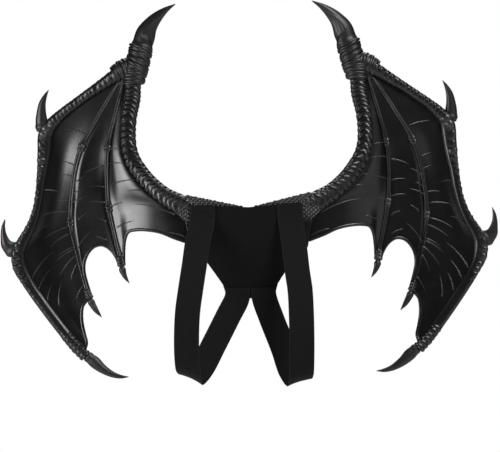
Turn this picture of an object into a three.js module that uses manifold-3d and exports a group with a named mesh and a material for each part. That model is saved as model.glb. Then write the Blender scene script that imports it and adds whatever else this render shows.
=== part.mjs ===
// Costume dragon wings on a shoulder harness.
// Each wing is moulded foam: a ribbed arm, a leading spar, two fingers and three webs, a horn and claws.
// A cloth back panel joins the two wings and carries two elastic shoulder straps.
// Units are millimetres. +X is to the right of someone who faces the wearer, +Y runs back from the wearer
// and +Z is up.
// The origin is on the back panel's front face, where it rests between the wearer's shoulder blades.

import * as THREE from 'three';
import { mergeVertices } from 'three/addons/utils/BufferGeometryUtils.js';
import Module from 'manifold-3d';

const wasm = await Module();
wasm.setup();

// Driving dimensions
const GAP = 0.3; // clearance between two pieces that touch
const FUSE = 0.08; // corners closer than this are one
const WEB_GAP = 0.5; // clearance between a web and the crest of a bone's ribs
const WEB_THICK = 4.5; // foam membrane
const RIM_THICK = 7; // rolled edge of the membrane
const PANEL_THICK = 2.5; // padded cloth
const STRAP_WIDE = 40; // elastic webbing
const STRAP_THICK = 1.8;
const ROOT_THICK = 8; // foam foot of a wing, without its scales
const ROOT_INNER = 9; // half the space between the two feet
const SCALE_RAISE = 1.2; // height of the small scales on a foot

// Rows of numbers with named columns
function table(columns, rows) {
  const names = columns.split(' ');
  return rows.map((row) => Object.fromEntries(names.map((name, k) => [name, row[k]])));
}

// Limbs of one wing. out is the distance from the spine, up the height and back the depth behind the panel's
// face; wide is the section's size in the wing's plane and deep its size through the wing.
const LIMB = 'out up back wide deep';
const ARM = table(LIMB, [
  [179.5, 273, 42, 25, 26],
  [181.5, 245, 41, 26, 25],
  [187, 219, 39, 25, 24],
  [189, 195, 37.5, 24, 24],
  [188.5, 170, 35, 24, 24],
  [183, 149, 31.5, 25, 24],
  [171, 129, 27, 26, 24],
  [154, 109, 21, 26, 23],
  [132, 90, 15, 28, 20],
  [107, 75.5, 10.5, 32, 17],
]);
const LEADING_SPAR = table(LIMB, [
  [203, 287, 43, 23, 22],
  [224, 273.5, 46, 19.5, 20],
  [248, 258, 50, 16.5, 19],
  [270, 243, 54, 16, 18],
  [292, 227, 58, 17, 19],
  [308, 213, 61, 20, 20],
  [321, 196, 63, 24, 21],
  [325, 165, 63, 22, 20],
  [328, 140, 62, 18, 19],
  [331.5, 118, 61, 14.5, 17],
  [334, 98, 60, 13.5, 17],
  [338, 78, 59.5, 13, 17],
  [344, 58, 59, 14, 17],
  [352, 40, 58.5, 16, 18],
  [362, 23, 58, 18.5, 19],
  [370, 5, 57.5, 21.5, 20],
  [368.5, -18, 57, 22.5, 20],
  [358, -40, 56, 19, 18],
  [345, -62, 54.5, 17.5, 17],
  [312, -109, 50, 17, 16],
  [284, -145, 46, 17, 16],
  [266, -164, 43.5, 17.5, 16],
]);
const INNER_FINGER = table(LIMB, [
  [196, 272, 42, 6, 8],
  [207, 232, 42.5, 6.5, 8],
  [214, 207, 43.5, 7, 8.5],
  [223, 168, 45.5, 8, 10],
  [225.5, 135, 47.5, 7.5, 9.5],
  [225.5, 100, 49, 7, 9],
  [223.5, 71, 49, 8, 9.5],
  [218, 42, 48, 7, 9],
  [213, 18, 46.5, 7, 9],
  [208, -3, 44.5, 8, 9],
  [205, -21, 43, 9.5, 10],
]);
const OUTER_FINGER = table(LIMB, [
  [203, 273, 43, 6, 8],
  [220, 247, 45, 6.5, 8],
  [240, 215, 48, 7, 8.5],
  [265.5, 170, 53, 9, 10],
  [275.5, 138, 56, 8, 9.5],
  [281.5, 105, 58.5, 7.5, 9],
  [285.5, 49, 59.5, 8, 9],
  [279, 10, 58, 5, 6.5],
  [271, -25, 55.5, 5, 6.5],
  [264.5, -51, 53.5, 6, 7.5],
  [257.5, -72, 51.5, 9, 9.5],
]);
const INNER_FINGER_JOINTS = [3, 6, 10]; // rows where a finger has a knuckle
const OUTER_FINGER_JOINTS = [3, 6, 10];
const KNUCKLE_RAISE = 0.3; // swelling of a knuckle, as a share of the finger's size
const KNUCKLE_REACH = 0.022; // half a knuckle's length, as a share of the finger's
const WRAP_TRUNK = table(LIMB, [
  [165, 329, 43, 38, 34],
  [169, 313, 43, 37, 34],
  [174, 297, 43, 39, 35],
  [177.5, 283, 42.5, 37, 34],
  [180, 269, 42, 33, 31],
]);
const WRAP_BRANCH = table(LIMB, [
  [180, 297, 43, 30, 30],
  [194, 293, 43, 34, 31],
  [208, 285, 44, 28, 26],
]);

// Horn and claws, from the root to the point
const THUMB_HORN = table(LIMB, [
  [166, 323, 43, 32, 29],
  [162, 335, 43, 34, 30],
  [157, 351.5, 42, 31.5, 28],
  [149.5, 364, 40, 24.5, 23],
  [139.5, 375, 37.5, 18.5, 17],
  [125.5, 386.5, 34, 10, 10],
  [109, 396, 31, 1.2, 1.2],
]);
const ELBOW_CLAW = table(LIMB, [
  [326, 199, 62, 20, 15],
  [328, 214, 61, 19.5, 15],
  [328, 229, 59, 15, 12.5],
  [326, 243, 57, 11, 9.5],
  [321, 255, 55, 6, 6],
  [315.5, 264, 53, 1, 1],
]);
const OUTER_CLAW = table(LIMB, [
  [374, 7, 57.5, 22, 15],
  [381, 11, 57, 24, 15.5],
  [388.5, 18, 55.5, 19, 14],
  [392, 28, 54, 12.5, 11],
  [393.5, 38, 52.5, 8.5, 8],
  [393, 48, 51, 5.5, 5.5],
  [390, 59, 49.5, 1, 1],
]);
const TIP_CLAW = table(LIMB, [
  [268, -160, 43.5, 11, 11],
  [261, -165.5, 43, 15, 13],
  [253, -172.5, 42, 19, 15],
  [240, -184, 40.5, 15, 13],
  [224, -193.5, 38.5, 10, 9.5],
  [210, -197.5, 36.5, 6, 6],
  [198, -198, 35, 1, 1],
]);
const INNER_FINGER_CLAW = table(LIMB, [
  [205.3, -19, 43, 6, 7],
  [203.5, -29, 41.5, 9.5, 8.5],
  [200, -38, 40, 7, 6.5],
  [193.5, -48.5, 38, 0.8, 0.8],
]);
const OUTER_FINGER_CLAW = table(LIMB, [
  [258.3, -70, 51.7, 6, 7],
  [254, -80, 50, 10, 9],
  [247.5, -91, 48, 8, 7],
  [239, -102, 46, 0.8, 0.8],
]);

// Scalloped edges of the webs between the ends of their bones, from the inner bone to the outer one
const EDGE = 'out up back';
const INNER_SCALLOP = table(EDGE, [
  [120, 22.5, 14],
  [140, 31.5, 20],
  [160, 36, 26],
  [180, 37, 33],
  [193, 34, 38],
  [198.5, 24, 41],
  [201, 6, 43.5],
]);
const MIDDLE_SCALLOP = table(EDGE, [
  [213, -8, 45],
  [222, 6, 48.5],
  [235, 14, 51.5],
  [248, 12, 54],
  [258, 3, 55.5],
  [265, -12, 56],
  [266, -28, 55],
  [262, -46, 53.8],
]);
const OUTER_SCALLOP = table(EDGE, [
  [269, -83, 52],
  [271.5, -97, 52],
  [271, -111, 51.5],
  [268, -127, 50],
  [264.5, -142, 47],
]);

// How the middle of each web swells: mm forward, the shares of the web's height where that starts, is whole
// and eases, the share that the foot keeps, and its lean, which below 1 brings it nearer to the inner bone
const [INNER_SWELL, MIDDLE_SWELL, OUTER_SWELL] = table('forward starts whole eases kept lean', [
  [11.5, 0.1, 0.75, 0.85, 0.7, 0.9],
  [-6, 0.2, 0.45, 0.5, 0, 0.65],
  [-4, 0.15, 0.4, 0.5, 0.1, 0.65],
]);

// Foot of a wing: its outer edge from top to bottom, and the height of its inner edge in the same row
const ROOT = table('out up innerUp', [
  [99, 90, 69.5],
  [107, 75, 62],
  [114.4, 61, 50],
  [101.2, 48, 38],
  [97.5, 27, 16],
  [93.2, 3, -6],
  [70, -16, -24],
  [56, -36, -42],
  [44, -54, -58],
  [39.5, -69, -71],
]);

// Half of the back panel's outline, from the top of the centre line round to its foot
const PANEL_EDGE = table('out up', [
  [0, 68.5],
  [10, 69.5],
  [40, 71],
  [80, 74],
  [80, -6],
  [67.5, -18],
  [55, -36],
  [43, -54],
  [39, -66],
  [38, -74],
  [0, -77],
]);

// Shoulder straps, from the sewn top end round the free loop to the sewn foot. fore is the distance in front
// of the panel and tilt turns the strap's width in the front view, with its inner edge lower.
const STRAP = 'out up fore tilt';
const LEFT_STRAP = table(STRAP, [
  [73, 73, 0, 2],
  [74, 50, 1, 3],
  [82.5, 14, 22, 5],
  [88, -20, 44, 6],
  [95, -60, 62, 6],
  [100.5, -95, 73, 5],
  [103, -130, 77, 4],
  [103.5, -165, 72, 9],
  [101.5, -192, 57, 20],
  [96, -201, 38, 26],
  [81, -186, 22, 28],
  [60.5, -149, 11, 28],
  [37, -105, 4, 28],
  [21.5, -75, 0, 22],
  [20.6, -60, 0, 10],
]);
const RIGHT_STRAP = table(STRAP, [
  [65, 71.5, 0, -1],
  [66, 50, 1, 0],
  [71, 8, 26, 2],
  [75, -36, 52, 2],
  [78.5, -65, 64, 2],
  [79.5, -98, 73, 2],
  [79.5, -133, 77, 2],
  [78.5, -175, 72, 6],
  [77, -201, 57, 11],
  [73, -210, 38, 15],
  [61, -193, 22, 18],
  [50, -158, 11, 20],
  [32.5, -110, 4, 20],
  [21.5, -76, 0, 16],
  [20.6, -60, 0, 8],
]);

// Materials
const foam = new THREE.MeshStandardMaterial({ color: 0x1b1a1b, roughness: 0.42, metalness: 0 });
const horn = new THREE.MeshStandardMaterial({ color: 0x201f21, roughness: 0.35, metalness: 0 });
const cloth = new THREE.MeshStandardMaterial({ color: 0x0c0c0c, roughness: 0.95, metalness: 0 });
const elastic = new THREE.MeshStandardMaterial({ color: 0x1c1c1d, roughness: 0.85, metalness: 0 });

const BACKWARD = new THREE.Vector3(0, 1, 0);

// Surfaces and solids

// A closed skin over rings of points that all run the same way round; each end is closed by zipping
// the ring's halves.
function loft(rings) {
  const sides = rings[0].length;
  const last = (rings.length - 1) * sides;
  const faces = [];
  for (let start = 0; start < last; start += sides) {
    for (let k = 0; k < sides; k++) {
      const a = start + k;
      const b = start + ((k + 1) % sides);
      faces.push(a, a + sides, b, b, a + sides, b + sides);
    }
  }
  for (let k = 0; k < sides / 2 - 1; k++) {
    const far = sides - 1 - k;
    faces.push(k, k + 1, far, k + 1, far - 1, far);
    faces.push(last + k, last + far, last + k + 1, last + k + 1, last + far, last + far - 1);
  }
  const geometry = new THREE.BufferGeometry().setFromPoints(rings.flat());
  geometry.setIndex(faces);
  return geometry;
}

function toManifold(geometry) {
  const bare = geometry.clone();
  bare.deleteAttribute('normal');
  bare.deleteAttribute('uv');
  const merged = mergeVertices(bare, 1e-4);
  const triVerts = new Uint32Array(merged.index.array);
  const vertProperties = merged.attributes.position.array;
  return new wasm.Manifold(new wasm.Mesh({ numProp: 3, vertProperties, triVerts }));
}

function toGeometry(solid) {
  const { vertProperties, triVerts } = solid.getMesh();
  const geometry = new THREE.BufferGeometry();
  geometry.setAttribute('position', new THREE.BufferAttribute(vertProperties, 3));
  geometry.setIndex(new THREE.BufferAttribute(triVerts, 1));
  return geometry;
}

// What is left of a body when its seats are cut away; crumbs beyond a seat are dropped.
function seated(body, ...seats) {
  const rest = seats.reduce((solid, seat) => solid.subtract(toManifold(seat)), toManifold(body));
  const pieces = rest.decompose().sort((a, b) => b.volume() - a.volume());
  return toGeometry(pieces[0].simplify(FUSE));
}

function joined(a, b) {
  return toGeometry(toManifold(a).add(toManifold(b)).simplify(FUSE));
}

// Stations along a limb: at is the share of its length and raise the swelling of the ring there.
function plain(count, from = 0, to = 1) {
  return Array.from({ length: count + 1 }, (_, k) => ({ at: from + ((to - from) * k) / count, raise: 0 }));
}

function ribbed(count, raise, from, to) {
  const pitch = (to - from) / count;
  const rib = (k) => [
    { at: from + pitch * k, raise: -raise / 2 },
    { at: from + pitch * (k + 0.5), raise },
  ];
  return Array.from({ length: count }, (_, k) => rib(k)).flat();
}

// Where a finger's knuckles are, as shares of its length
function knucklePlaces(rows, joints) {
  return joints.map((row) => Math.min(lengthShare(rows, row), 1 - KNUCKLE_REACH));
}

// Plain stations with a double swelling at each knuckle
function knuckled(rows, joints, count) {
  const profile = [[-1, 0], [-0.5, KNUCKLE_RAISE], [0, KNUCKLE_RAISE / 3], [0.5, KNUCKLE_RAISE], [1, 0]];
  const places = knucklePlaces(rows, joints);
  const apart = (at) => places.every((place) => Math.abs(at - place) > KNUCKLE_REACH * 1.3);
  const clear = plain(count).filter(({ at }) => apart(at));
  const swollen = places.flatMap((place) =>
    profile.map(([k, raise]) => ({ at: place + KNUCKLE_REACH * k, raise })));
  return [...clear, ...swollen].sort((a, b) => a.at - b.at);
}

// Round notches that keep a web clear of a finger's knuckles
function knuckleNotches(rows, joints) {
  const axes = limbAxes(rows);
  return knucklePlaces(rows, joints).map((place) => {
    const { centre, halfWide } = axes(place);
    const radius = halfWide * (1 + KNUCKLE_RAISE) + 6 * GAP;
    return new THREE.CylinderGeometry(radius, radius, 40, 12).translate(centre.x, centre.y, centre.z);
  });
}

// The smooth centre line through a limb's rows, in the wing's axes: x out, y back, z up
function centreLine(rows) {
  const points = rows.map(({ out, up, back }) => new THREE.Vector3(out, back, up));
  return new THREE.CatmullRomCurve3(points, false, 'centripetal');
}

function lengthShare(rows, row) {
  const lengths = centreLine(rows).getLengths((rows.length - 1) * 20);
  return lengths[row * 20] / lengths[lengths.length - 1];
}

// A limb as a function of the share of its length: the centre, the direction along it, and its side and
// back half-axes
function limbAxes(rows) {
  const line = centreLine(rows);
  const sizes = new THREE.CatmullRomCurve3(rows.map(({ wide, deep }) => new THREE.Vector3(wide, deep, 0)));
  return (at) => {
    const t = line.getUtoTmapping(THREE.MathUtils.clamp(at, 0, 1));
    const along = line.getTangent(t);
    const back = BACKWARD.clone().addScaledVector(along, -along.y).normalize();
    const side = new THREE.Vector3().crossVectors(along, back);
    const size = sizes.getPoint(t);
    return { centre: line.getPoint(t), along, side, back, halfWide: size.x / 2, halfDeep: size.y / 2 };
  };
}

// A limb: oval rings along its line. beaded puts the swelling on the outer side alone; chevron draws the
// front and the back of each ring along the limb, so that the ribs point; grow makes the limb larger all
// round, as a seat for others.
function limb(rows, { stations, sides, beaded = false, chevron = 0, grow = 0 }) {
  const axes = limbAxes(rows);
  const rings = stations.map(({ at, raise }, index) => {
    const { centre, along, side, back, halfWide, halfDeep } = axes(at);
    const end = index === 0 ? -grow : index === stations.length - 1 ? grow : 0;
    const slant = index === 0 || index === stations.length - 1 ? 0 : chevron;
    return Array.from({ length: sides }, (_, k) => {
      const angle = (2 * Math.PI * k) / sides;
      const swell = 1 + raise * (beaded ? Math.max(0, Math.cos(angle)) : 1);
      return centre
        .clone()
        .addScaledVector(side, Math.cos(angle) * (halfWide * swell + grow))
        .addScaledVector(back, Math.sin(angle) * (halfDeep * swell + grow))
        .addScaledVector(along, end + slant * (0.5 - Math.abs(Math.sin(angle))));
    });
  });
  return loft(rings);
}

// The edge of a limb that faces a web, as a function of the share of the web's length; sign 1 is the outer
// side.
function limbEdge(rows, sign, from, to, crest = 0) {
  const axes = limbAxes(rows);
  return (v) => {
    const { centre, side, halfWide } = axes(from + (to - from) * v);
    return centre.addScaledVector(side, sign * (halfWide * (1 + crest) + WEB_GAP));
  };
}

// A web: a sheet ruled between two edges, its foot drawn up to the scallop and its middle swelled.
function web(innerEdge, outerEdge, scallop, swell, { rows = WEB_ROWS, columns }) {
  const { smoothstep } = THREE.MathUtils;
  const foot = new THREE.CatmullRomCurve3(
    [innerEdge(1), ...scallop.map(({ out, up, back }) => new THREE.Vector3(out, back, up)), outerEdge(1)],
    false, 'centripetal');
  const rings = rows.map((v, j) => {
    const half = (j === rows.length - 1 ? RIM_THICK : WEB_THICK) / 2;
    const eased = 1 - (1 - swell.kept) * smoothstep(v, swell.eases, 1);
    const forward = swell.forward * smoothstep(v, swell.starts, swell.whole) * eased;
    const middle = Array.from({ length: columns + 1 }, (_, i) => {
      const u = i / columns;
      const chord = innerEdge(1).lerp(outerEdge(1), u);
      const pull = foot.getPointAt(u).sub(chord).multiplyScalar(v * v);
      const point = innerEdge(v).lerp(outerEdge(v), u).add(pull);
      point.y -= forward * Math.sin(Math.PI * u ** swell.lean);
      return point;
    });
    const front = middle.map((p) => p.clone().addScaledVector(BACKWARD, -half));
    const rear = middle.map((p) => p.clone().addScaledVector(BACKWARD, half)).reverse();
    return [...front, ...rear];
  });
  return loft(rings);
}

// The scaled foot of a wing: a plate whose alternate points stand up as small pointed scales.
function rootPlate(grow = 0) {
  const columns = 8;
  const middle = PANEL_THICK + GAP + SCALE_RAISE + ROOT_THICK / 2;
  const rings = ROOT.map(({ out, up, innerUp }, j) => {
    const face = (sign) =>
      Array.from({ length: columns + 1 }, (_, i) => {
        const share = i / columns;
        const inside = i > 0 && i < columns && j > 0 && j < ROOT.length - 1;
        const raise = inside && (i + j) % 2 === 0 ? SCALE_RAISE : 0;
        const x = THREE.MathUtils.lerp(ROOT_INNER, out + grow, share);
        const z = THREE.MathUtils.lerp(innerUp, up, share);
        return new THREE.Vector3(x, middle + sign * (ROOT_THICK / 2 + raise + grow), z);
      });
    return [...face(-1), ...face(1).reverse()];
  });
  return loft(rings);
}

// The cloth panel: its outline, mirrored about the centre line, through its thickness
function backPanel() {
  const right = PANEL_EDGE.map(({ out, up }) => new THREE.Vector2(out, up));
  const left = right.slice(1, -1).map(({ x, y }) => new THREE.Vector2(-x, y));
  const shape = new THREE.Shape([...right, ...left.reverse()]);
  const geometry = new THREE.ExtrudeGeometry(shape, { depth: PANEL_THICK, bevelEnabled: false });
  return geometry.rotateX(Math.PI / 2).translate(0, PANEL_THICK, 0);
}

// A strap: a flat ribbon along its table's line, turned in the front view by tilt
function strap(rows) {
  const steps = 32;
  const clear = GAP + STRAP_THICK / 2;
  const line = new THREE.CatmullRomCurve3(
    rows.map(({ out, up, fore }) => new THREE.Vector3(out, -(fore + clear), up)), false, 'centripetal');
  const tilts = new THREE.CatmullRomCurve3(rows.map(({ tilt }) => new THREE.Vector3(tilt, 0, 0)));
  const rings = Array.from({ length: steps + 1 }, (_, k) => {
    const t = line.getUtoTmapping(k / steps);
    const centre = line.getPoint(t);
    centre.y = Math.min(centre.y, -clear);
    const along = line.getTangent(t);
    const tilt = THREE.MathUtils.degToRad(tilts.getPoint(t).x);
    const across = new THREE.Vector3(Math.cos(tilt), 0, Math.sin(tilt));
    across.addScaledVector(along, -across.dot(along)).normalize();
    const through = new THREE.Vector3().crossVectors(along, across);
    return [[1, 1], [1, -1], [-1, -1], [-1, 1]].map(([w, h]) =>
      centre
        .clone()
        .addScaledVector(across, (w * STRAP_WIDE) / 2)
        .addScaledVector(through, (h * STRAP_THICK) / 2));
  });
  return loft(rings);
}

// Pieces of one wing
const ARM_RIBS = 21;
const ARM_CREST = 0.08;
const ARM_STATIONS = [...ribbed(ARM_RIBS, ARM_CREST, 0, 1), { at: 1, raise: 0 }];
const SPAR_BEADS = 28;
const SPAR_BEAD_END = 0.7; // share of the spar's length that is beaded
const SPAR_RING_START = 0.91; // share where the rings before the tip claw start
const SPAR_STATIONS = [
  ...ribbed(SPAR_BEADS, 0.12, 0, SPAR_BEAD_END),
  ...plain(7, SPAR_BEAD_END, SPAR_RING_START).slice(0, -1),
  ...ribbed(4, 0.14, SPAR_RING_START, 1),
  { at: 1, raise: 0 },
];
const WEB_START = 0.045; // share of a bone's length that lies above the webs
const WEB_ROWS = [0, 0.1, 0.2, 0.3, 0.4, 0.5, 0.6, 0.7, 0.8, 0.9, 0.965, 1]; // shares of a web's length
const OUTER_WEB_ROWS = [
  0, 0.09, 0.17, 0.23, 0.28, 0.34, 0.4, 0.46, 0.52, 0.58, 0.63, 0.68, 0.77, 0.87, 0.965, 1,
];
const ARM_WEB_SHARE = 0.8; // share of the inner web that runs beside the arm; the rest meets the foot

function wristWrap(grow = 0) {
  const wound = (turns, raise) => [...ribbed(turns, raise, 0, 1), { at: 1, raise: 0 }];
  const trunk = limb(WRAP_TRUNK, { stations: wound(6, 0.05), sides: 10, grow });
  const branch = limb(WRAP_BRANCH, { stations: wound(3, 0.06), sides: 8, grow });
  return joined(trunk, branch);
}

function arm(grow = 0) {
  return limb(ARM, { stations: ARM_STATIONS, sides: 8, chevron: 5, grow });
}

function leadingSpar(grow = 0) {
  return limb(LEADING_SPAR, { stations: SPAR_STATIONS, sides: 6, beaded: true, grow });
}

function finger(rows, joints, grow = 0) {
  return limb(rows, { stations: knuckled(rows, joints, 12), sides: 6, grow });
}

function claw(rows, sides, count) {
  return limb(rows, { stations: plain(count), sides });
}

// The inner web's edge on the arm runs on down the foot's outer edge.
function armAndFootEdge() {
  const beside = limbEdge(ARM, 1, WEB_START, 1, 1.6 * ARM_CREST);
  const corner = beside(1);
  const depth = PANEL_THICK + GAP + SCALE_RAISE + ROOT_THICK / 2;
  const [notch, bottom] = [ROOT[3], ROOT[5]].map(({ out, up }) =>
    new THREE.Vector3(out + 2 * GAP, depth, up - GAP));
  return (v) => {
    if (v <= ARM_WEB_SHARE) return beside(v / ARM_WEB_SHARE);
    const share = ((v - ARM_WEB_SHARE) / (1 - ARM_WEB_SHARE)) * 2;
    return share <= 1 ? corner.clone().lerp(notch, share) : notch.clone().lerp(bottom, share - 1);
  };
}

function wingPieces() {
  const wrapSeat = wristWrap(GAP);
  const sparSeat = leadingSpar(GAP);
  const innerFingerSeat = finger(INNER_FINGER, INNER_FINGER_JOINTS, GAP);
  const outerFingerSeat = finger(OUTER_FINGER, OUTER_FINGER_JOINTS, GAP);
  const innerNotches = knuckleNotches(INNER_FINGER, INNER_FINGER_JOINTS);
  const outerNotches = knuckleNotches(OUTER_FINGER, OUTER_FINGER_JOINTS);
  const fingerEdge = (rows, sign) => limbEdge(rows, sign, WEB_START, 1, 0.26);
  const innerWeb = web(
    armAndFootEdge(), fingerEdge(INNER_FINGER, -1), INNER_SCALLOP, INNER_SWELL, { columns: 8 });
  const middleWeb = web(
    fingerEdge(INNER_FINGER, 1), fingerEdge(OUTER_FINGER, -1), MIDDLE_SCALLOP, MIDDLE_SWELL, { columns: 7 });
  const outerWeb = web(
    fingerEdge(OUTER_FINGER, 1), limbEdge(LEADING_SPAR, -1, WEB_START, 0.985, 0.05), OUTER_SCALLOP,
    OUTER_SWELL, { rows: OUTER_WEB_ROWS, columns: 7 });
  return {
    arm: [seated(arm(), wrapSeat, rootPlate(GAP)), foam],
    root: [rootPlate(), foam],
    wrist_wrap: [wristWrap(), foam],
    leading_spar: [seated(leadingSpar(), wrapSeat), foam],
    inner_finger: [seated(finger(INNER_FINGER, INNER_FINGER_JOINTS), wrapSeat), foam],
    outer_finger: [seated(finger(OUTER_FINGER, OUTER_FINGER_JOINTS), wrapSeat, sparSeat), foam],
    inner_web: [seated(innerWeb, ...innerNotches), foam],
    middle_web: [seated(middleWeb, ...innerNotches, ...outerNotches), foam],
    outer_web: [seated(outerWeb, ...outerNotches), foam],
    thumb_horn: [seated(claw(THUMB_HORN, 8, 9), wrapSeat), horn],
    elbow_claw: [seated(claw(ELBOW_CLAW, 8, 7), sparSeat), horn],
    outer_claw: [seated(claw(OUTER_CLAW, 8, 7), sparSeat), horn],
    tip_claw: [seated(claw(TIP_CLAW, 8, 8), sparSeat), horn],
    inner_finger_claw: [seated(claw(INNER_FINGER_CLAW, 6, 5), innerFingerSeat), horn],
    outer_finger_claw: [seated(claw(OUTER_FINGER_CLAW, 6, 5), outerFingerSeat), horn],
  };
}

function namedMesh(name, [geometry, material]) {
  const mesh = new THREE.Mesh(geometry, material);
  mesh.name = name;
  return mesh;
}

// A side of the pair: its wing and its strap, drawn on the right and mirrored for the left
function pairSide(side, strapRows) {
  const group = new THREE.Group();
  for (const [name, piece] of Object.entries(wingPieces())) group.add(namedMesh(`${side}_${name}`, piece));
  group.add(namedMesh(`${side}_strap`, [strap(strapRows), elastic]));
  if (side === 'left') group.scale.x = -1;
  return group;
}

const wings = new THREE.Group();
wings.add(namedMesh('back_panel', [backPanel(), cloth]));
wings.add(pairSide('left', LEFT_STRAP), pairSide('right', RIGHT_STRAP));

export default wings;
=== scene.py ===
# %% [markdown]
# # A pair of dragon wings on a harness
# Costume wings are moulded in soft polyurethane foam, one wing at a time, and sewn to a cloth panel that
# lies on the wearer's back. Two elastic straps go round the shoulders. Each wing has an arm, a wrist
# bound with strands, a leading spar with claws, two fingers, and three webs between them. This lesson loads
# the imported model, which holds the sizes, and dresses each of its pieces in detail. Lengths in the tables
# are millimetres from the middle of the panel's front.

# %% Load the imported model
import math
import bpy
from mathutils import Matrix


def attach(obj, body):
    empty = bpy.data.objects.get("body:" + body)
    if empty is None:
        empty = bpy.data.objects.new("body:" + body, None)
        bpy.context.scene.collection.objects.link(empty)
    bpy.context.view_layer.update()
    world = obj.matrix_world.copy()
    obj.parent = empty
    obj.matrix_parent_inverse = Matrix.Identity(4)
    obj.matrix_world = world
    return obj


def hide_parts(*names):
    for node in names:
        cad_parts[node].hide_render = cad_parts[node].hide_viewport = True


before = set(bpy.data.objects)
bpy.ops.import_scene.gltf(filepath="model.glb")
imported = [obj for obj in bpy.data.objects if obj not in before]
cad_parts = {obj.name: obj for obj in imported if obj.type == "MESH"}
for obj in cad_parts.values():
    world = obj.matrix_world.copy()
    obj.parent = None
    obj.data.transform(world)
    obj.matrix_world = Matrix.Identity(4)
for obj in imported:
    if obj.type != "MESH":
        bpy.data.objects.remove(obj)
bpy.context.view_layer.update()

from types import SimpleNamespace

import bpy
import numpy as np
from mathutils import Matrix

MM = 0.001
print("nodes in the packed model:", len(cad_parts))

# %% [markdown]
# ## Camera
# The wings were photographed from straight in front and from far away, so nothing converges, and the
# camera was rolled a little. A camera with no perspective would give that flat view too, but a long lens
# 12 m away is nearer to the real one.

# %% Camera
CAMERA_FAR = 12.0
CAMERA_SIDE = 0.0016
CAMERA_UP = 0.0384
CAMERA_ROLL = math.radians(1.4)
SHOWN_WIDTH = 0.8  # metres across the picture where the wings are
WINGS_BACK = 0.045  # how far behind the panel's front that is

camera = bpy.data.cameras.new("camera")
camera.sensor_fit = "HORIZONTAL"
camera.lens = camera.sensor_width * (CAMERA_FAR + WINGS_BACK) / SHOWN_WIDTH
viewer = bpy.data.objects.new("camera", camera)
lean, rise = math.sin(CAMERA_ROLL), math.cos(CAMERA_ROLL)
viewer.matrix_world = Matrix((
    (rise, lean, 0, CAMERA_SIDE),
    (0, 0, -1, -CAMERA_FAR),
    (-lean, rise, 0, CAMERA_UP),
    (0, 0, 0, 1)))
bpy.context.collection.objects.link(viewer)
bpy.context.scene.camera = viewer
bpy.context.scene.view_settings.view_transform = "Standard"
print("lens in mm:", round(camera.lens, 1))

# %% [markdown]
# ## Lines and ovals
# Every bone of the wing is a line with a width and a depth at each point. A pattern maker would bend a
# wire along the photo and build the section up round it. Here a smooth line runs through a short table,
# and ovals stand round it.

# %% Smooth lines
FINE_POINTS = 40  # points worked out between two rows of a table, before they are spaced evenly

def run_along(points):
    """How far along a line each of its points is: the running sum of the steps' lengths."""
    steps = np.linalg.norm(np.diff(points, axis=0), axis=1)
    return np.concatenate([[0], np.cumsum(steps)])


def smooth(rows, count):
    """Even points on a smooth line through rows.

    Each stretch is a cubic. Its end slopes weigh the steps to the neighbouring rows by the square roots of
    their lengths, so the line passes every row without loops. Columns after the third ride along.
    """
    rows = np.asarray(rows, float)
    known = np.vstack([2 * rows[0] - rows[1], rows, 2 * rows[-1] - rows[-2]])
    step = np.sqrt(np.linalg.norm(np.diff(known[:, :3], axis=0), axis=1))[:, None]
    before, first, second, after = known[:-3], known[1:-2], known[2:-1], known[3:]
    a, b, c = step[:-2], step[1:-1], step[2:]
    leave = ((first - before) / a - (second - before) / (a + b) + (second - first) / b) * b
    arrive = ((second - first) / b - (after - first) / (b + c) + (after - second) / c) * b
    t = np.linspace(0, 1, FINE_POINTS, endpoint=False)[None, :, None]
    bend = 3 * (second - first) - 2 * leave - arrive
    curl = 2 * (first - second) + leave + arrive
    fine = first[:, None] + t * (leave[:, None] + t * (bend[:, None] + t * curl[:, None]))
    fine = np.vstack([fine.reshape(-1, rows.shape[1]), rows[-1]])
    run = run_along(fine[:, :3])
    even = np.linspace(0, run[-1], count)
    return np.stack([np.interp(even, run, column) for column in fine.T], axis=1)


def unit(vectors):
    """Vectors cut to length one: each is divided by its own length."""
    return vectors / np.linalg.norm(vectors, axis=-1, keepdims=True)


def bone_line(rows, step):
    """A bone from rows of (out, up, back, wide, deep), with a point every step mm.

    At each point, along follows the line, back is the part of +Y square to it and side is along cross back.
    So side points away from the body on a bone that runs down, and towards it on one that runs up.
    """
    rows = np.asarray(rows, float)
    length = run_along(rows[:, :3])[-1]
    line = smooth(rows[:, [0, 2, 1, 3, 4]], int(length / step) + 2)
    along = unit(np.gradient(line[:, :3], axis=0))
    back = unit(np.array([0, 1, 0]) - along * along[:, 1:2])
    run = run_along(line[:, :3])
    return SimpleNamespace(centre=line[:, :3], back=back, side=np.cross(along, back),
                           wide=line[:, 3:4], deep=line[:, 4:5], run=run[:, None], length=run[-1])


def turns(around):
    """Angles round a bone from its side, and the same from its front, where 0 faces the viewer."""
    turn = np.arange(around) * 2 * np.pi / around
    return turn[None], ((turn + 1.5 * np.pi) % (2 * np.pi) - np.pi)[None]


def oval_rings(bone, around, relief=0.0, roundness=1.0):
    """Skin points of a bone: ovals of half its width and depth plus relief.

    The cosine and sine that draw an oval go to the power roundness, so below 1 it is a rounded box.
    """
    turn, _ = turns(around)
    across, through = (np.sign(part) * np.abs(part) ** roundness for part in (np.cos(turn), np.sin(turn)))
    out = (across * (bone.wide / 2 + relief))[..., None] * bone.side[:, None]
    behind = (through * (bone.deep / 2 + relief))[..., None] * bone.back[:, None]
    return bone.centre[:, None] + out + behind


bend = smooth([(0, 0, 0), (7, 3, 0), (10, 10, 0)], 50)
print("a smooth line through three points is", round(run_along(bend)[-1], 1), "mm long")

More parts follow.
